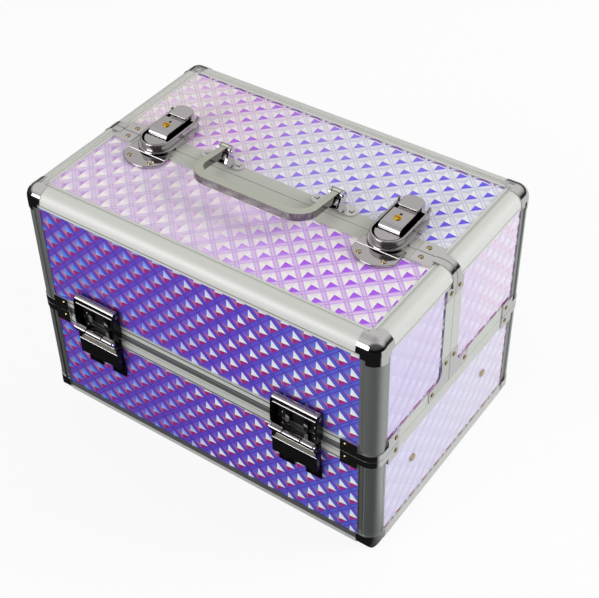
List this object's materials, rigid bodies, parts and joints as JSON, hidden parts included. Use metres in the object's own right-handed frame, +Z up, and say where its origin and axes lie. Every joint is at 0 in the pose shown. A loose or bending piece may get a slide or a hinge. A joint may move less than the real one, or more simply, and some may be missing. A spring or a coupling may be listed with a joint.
{
  "type": "makeup train case",
  "caption": "Hard makeup train case with embossed panels, metal edges, a top that parts into two lids, latches, locks, a swing handle and cantilever trays.",
  "frame": {"origin": "on the table under the middle of the whole case, fittings included", "axes": "+Z up, -Y towards the front with its two latches, +X to the right seen from the front"},
  "size_m": [0.3636, 0.265, 0.2561],
  "materials": {
    "sheet": "embossed, colour-shifting film",
    "rail": "satin anodised",
    "strip": "satin anodised",
    "fitting": "bright plated steel",
    "rivet": "bright",
    "board": "plain fibreboard",
    "lining": "black felt",
    "tray": "black",
    "arm": "satin",
    "key": "polished"
  },
  "bodies": {
    "base": {"base_box": "board", "base_lining": "lining", "base_front_sheet": "sheet", "base_back_sheet": "sheet", "base_end_sheets": "sheet", "base_posts": "rail", "base_bottom_trim": "strip", "base_rim": "strip", "corner_shoes": "fitting", "base_seam_plates": "fitting", "base_rivets": "rivet", "latch_bases": "fitting", "hinge_lower_leaves": "fitting", "hinge_pins": "fitting"},
    "front_lid": {"front_box": "board", "front_lining": "lining", "front_front_sheet": "sheet", "front_top_sheet": "sheet", "front_end_sheets": "sheet", "front_rails": "rail", "front_rim": "strip", "front_split_trim": "strip", "front_corner_caps": "fitting", "front_seam_plates": "fitting", "front_split_plates": "fitting", "front_rivets": "rivet", "strike_plates": "fitting", "latch_keepers": "fitting"},
    "rear_lid": {"rear_box": "board", "rear_lining": "lining", "rear_back_sheet": "sheet", "rear_top_sheet": "sheet", "rear_end_sheets": "sheet", "rear_rails": "rail", "rear_rim": "strip", "rear_split_trim": "strip", "rear_corner_caps": "fitting", "rear_seam_plates": "fitting", "rear_split_plates": "fitting", "rear_rivets": "rivet", "hinge_upper_leaves": "fitting", "handle_brackets": "fitting", "lock_bases": "fitting"},
    "handle": {"handle": "fitting"},
    "lock_lever_left": {"lock_lever_left": "fitting"},
    "lock_lever_right": {"lock_lever_right": "fitting"},
    "lock_key_left": {"lock_key_left": "key"},
    "lock_key_right": {"lock_key_right": "key"},
    "latch_lever_left": {"latch_lever_left": "fitting"},
    "latch_lever_right": {"latch_lever_right": "fitting"},
    "front_arms": {"front_arms": "arm"},
    "rear_arms": {"rear_arms": "arm"},
    "front_lower_tray": {"front_lower_tray": "tray"},
    "front_upper_tray": {"front_upper_tray": "tray"},
    "rear_lower_tray": {"rear_lower_tray": "tray"},
    "rear_upper_tray": {"rear_upper_tray": "tray"},
    "front_links": {"front_links": "arm"},
    "rear_links": {"rear_links": "arm"}
  },
  "joints": [
    {"name": "rear_lid_open", "type": "hinge", "parent": "base", "child": "rear_lid", "pos_m": [0, 0.129, 0.11], "axis": [-1, 0, 0], "range_deg": [0, 90]},
    {"name": "front_lid_open", "type": "hinge", "parent": "base", "child": "front_lid", "pos_m": [0, -0.129, 0.11], "axis": [1, 0, 0], "range_deg": [0, 90]},
    {"name": "handle_swing", "type": "hinge", "parent": "rear_lid", "child": "handle", "pos_m": [0, 0.011, 0.247], "axis": [-1, 0, 0], "range_deg": [0, 168]},
    {"name": "lock_lever_left_lift", "type": "hinge", "parent": "rear_lid", "child": "lock_lever_left", "pos_m": [-0.1185, -0.003, 0.247], "axis": [1, 0, 0], "range_deg": [0, 80]},
    {"name": "lock_key_left_turn", "type": "hinge", "parent": "lock_lever_left", "child": "lock_key_left", "pos_m": [-0.1185, 0.0055, 0.251], "axis": [0, 0, 1], "range_deg": [0, 90]},
    {"name": "latch_lever_left_lift", "type": "hinge", "parent": "base", "child": "latch_lever_left", "pos_m": [-0.1065, -0.1235, 0.101], "axis": [-1, 0, 0], "range_deg": [0, 75]},
    {"name": "lock_lever_right_lift", "type": "hinge", "parent": "rear_lid", "child": "lock_lever_right", "pos_m": [0.1185, -0.003, 0.247], "axis": [1, 0, 0], "range_deg": [0, 80]},
    {"name": "lock_key_right_turn", "type": "hinge", "parent": "lock_lever_right", "child": "lock_key_right", "pos_m": [0.1185, 0.0055, 0.251], "axis": [0, 0, 1], "range_deg": [0, 90]},
    {"name": "latch_lever_right_lift", "type": "hinge", "parent": "base", "child": "latch_lever_right", "pos_m": [0.1065, -0.1235, 0.101], "axis": [-1, 0, 0], "range_deg": [0, 75]},
    {"name": "front_arms_swing", "type": "hinge", "parent": "base", "child": "front_arms", "pos_m": [0, -0.05697, 0.063], "axis": [1, 0, 0], "range_deg": [0, 36]},
    {"name": "front_lower_tray_level", "type": "hinge", "parent": "front_arms", "child": "front_lower_tray", "pos_m": [0, -0.03029, 0.1363], "axis": [1, 0, 0], "range_deg": [-36, 0]},
    {"name": "front_upper_tray_level", "type": "hinge", "parent": "front_arms", "child": "front_upper_tray", "pos_m": [0, -0.0142, 0.1805], "axis": [1, 0, 0], "range_deg": [-36, 0]},
    {"name": "front_links_swing", "type": "hinge", "parent": "front_upper_tray", "child": "front_links", "pos_m": [0, -0.088, 0.176], "axis": [1, 0, 0], "range_deg": [0, 124.2]},
    {"name": "rear_arms_swing", "type": "hinge", "parent": "base", "child": "rear_arms", "pos_m": [0, 0.06297, 0.063], "axis": [-1, 0, 0], "range_deg": [0, 36]},
    {"name": "rear_lower_tray_level", "type": "hinge", "parent": "rear_arms", "child": "rear_lower_tray", "pos_m": [0, 0.03629, 0.1363], "axis": [-1, 0, 0], "range_deg": [-36, 0]},
    {"name": "rear_upper_tray_level", "type": "hinge", "parent": "rear_arms", "child": "rear_upper_tray", "pos_m": [0, 0.0202, 0.1805], "axis": [-1, 0, 0], "range_deg": [-36, 0]},
    {"name": "rear_links_swing", "type": "hinge", "parent": "rear_upper_tray", "child": "rear_links", "pos_m": [0, 0.09, 0.176], "axis": [-1, 0, 0], "range_deg": [0, 124.2]}
  ],
  "couplings": [
    {"joint": "front_lid_open", "follows": "rear_lid_open", "ratio": 1},
    {"joint": "front_arms_swing", "follows": "rear_lid_open", "ratio": 0.4},
    {"joint": "front_lower_tray_level", "follows": "rear_lid_open", "ratio": -0.4},
    {"joint": "front_upper_tray_level", "follows": "rear_lid_open", "ratio": -0.4},
    {"joint": "front_links_swing", "follows": "rear_lid_open", "ratio": 1.38},
    {"joint": "rear_arms_swing", "follows": "rear_lid_open", "ratio": 0.4},
    {"joint": "rear_lower_tray_level", "follows": "rear_lid_open", "ratio": -0.4},
    {"joint": "rear_upper_tray_level", "follows": "rear_lid_open", "ratio": -0.4},
    {"joint": "rear_links_swing", "follows": "rear_lid_open", "ratio": 1.38}
  ]
}
